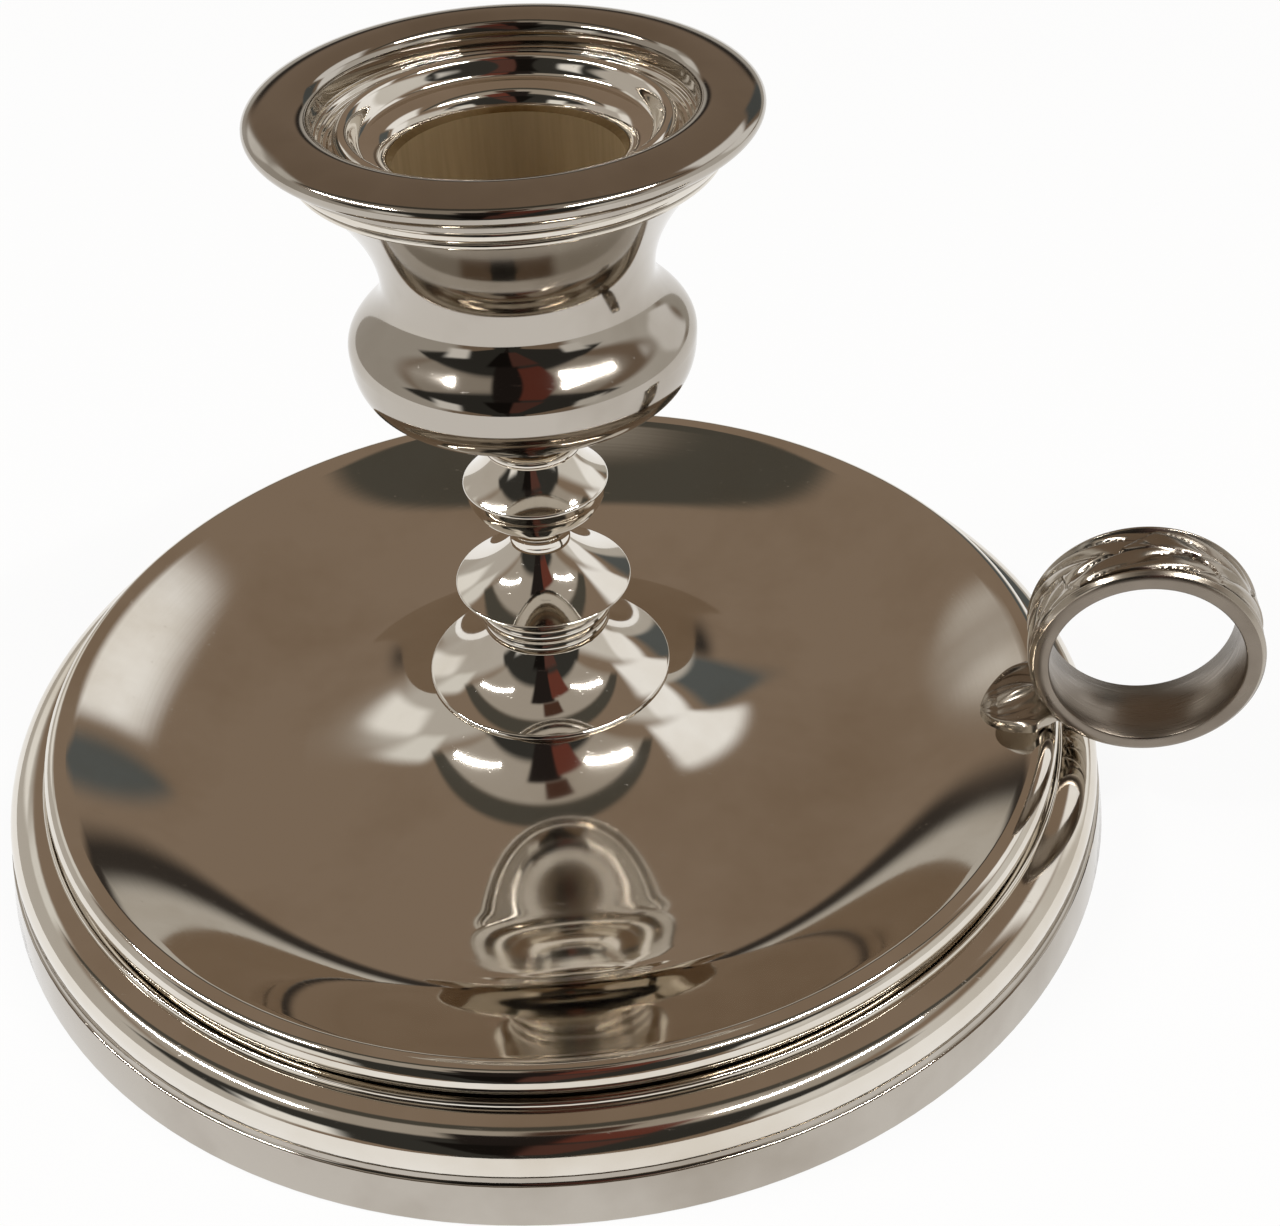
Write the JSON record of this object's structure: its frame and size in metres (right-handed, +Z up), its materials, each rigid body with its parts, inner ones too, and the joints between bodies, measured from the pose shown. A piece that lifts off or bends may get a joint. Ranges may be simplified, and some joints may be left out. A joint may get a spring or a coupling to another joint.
{
  "type": "chamber candlestick",
  "caption": "Low candlestick to carry by hand: round dished tray with a finger ring on its rim, a turned stem and a vase-shaped socket with a loose lift-out nozzle.",
  "frame": {"origin": "centre of the felt underside, in the plane of the table", "axes": "+X towards the finger ring, +Z up along the stem"},
  "size_m": [0.1421, 0.128, 0.0844],
  "materials": {
    "silver": "polished silver with fine wear",
    "brushed_silver": "worn satin silver",
    "gilt": "dull, brass-toned",
    "steel": "plain",
    "loading": "matt",
    "felt": "matt"
  },
  "bodies": {
    "holder": {"socket_lip": "silver", "socket_neck": "silver", "socket_bulb": "silver", "bulb_fillet": "silver", "neck_collar": "silver", "upper_knop": "silver", "spool": "silver", "lower_knop": "silver", "reed_collar": "silver", "shoulder_bell": "silver", "dish_pan": "silver", "rim_bead": "silver", "rim_ovolo": "silver", "foot_band": "silver", "handle_leaf": "silver", "ring_handle": "brushed_silver", "tie_rod": "steel", "base_washer": "steel", "base_nut": "steel", "base_fill": "loading", "felt_pad": "felt"},
    "nozzle": {"nozzle_rim": "silver", "nozzle_pan": "silver", "nozzle_mouth": "silver", "nozzle_tube": "gilt"}
  },
  "joints": [
    {"name": "nozzle_lift", "type": "slide", "parent": "holder", "child": "nozzle", "axis": [0, 0, 1], "range_m": [0, 0.035]}
  ]
}
